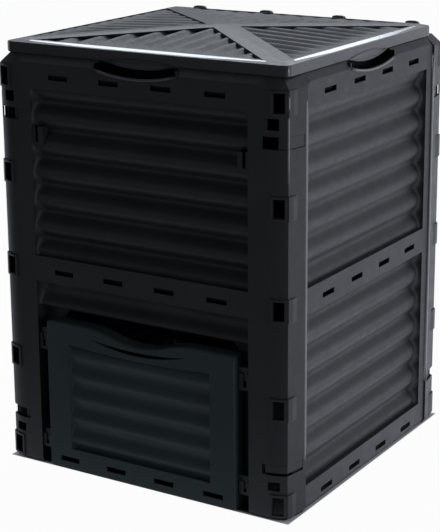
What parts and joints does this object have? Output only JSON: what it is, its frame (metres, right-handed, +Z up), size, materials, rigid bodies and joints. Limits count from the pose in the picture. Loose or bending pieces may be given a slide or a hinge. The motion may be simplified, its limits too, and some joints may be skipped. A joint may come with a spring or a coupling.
{
  "type": "compost bin",
  "caption": "Square garden compost bin of interlocking moulded walls, with a hinged ribbed lid and a lift-off emptying hatch low in the front.",
  "frame": {"origin": "centre of the bin's square plan, on the ground", "axes": "+Z up, the wall with the hatch faces -Y, +X to the right seen from the front"},
  "size_m": [0.61, 0.6191, 0.807],
  "materials": {
    "wall_plastic": "fine moulded grain, matte",
    "lid_plastic": "satin moulded top",
    "hatch_plastic": "fine moulded grain, satin, slightly green black",
    "pin_plastic": "smooth moulded"
  },
  "bodies": {
    "bin": {"front_panel": "wall_plastic", "back_panel": "wall_plastic", "left_panel": "wall_plastic", "right_panel": "wall_plastic", "hinge_pin_1": "pin_plastic", "hinge_pin_2": "pin_plastic", "hinge_pin_3": "pin_plastic", "hinge_pin_4": "pin_plastic"},
    "lid": {"lid": "lid_plastic"},
    "hatch": {"hatch_door": "hatch_plastic"}
  },
  "joints": [
    {"name": "lid_hinge", "type": "hinge", "parent": "bin", "child": "lid", "pos_m": [0, 0.283, 0.7845], "axis": [-1, 0, 0], "range_deg": [0, 105]},
    {"name": "hatch_lift", "type": "slide", "parent": "bin", "child": "hatch", "axis": [0, 0, 1], "range_m": [0, 0.019]}
  ]
}
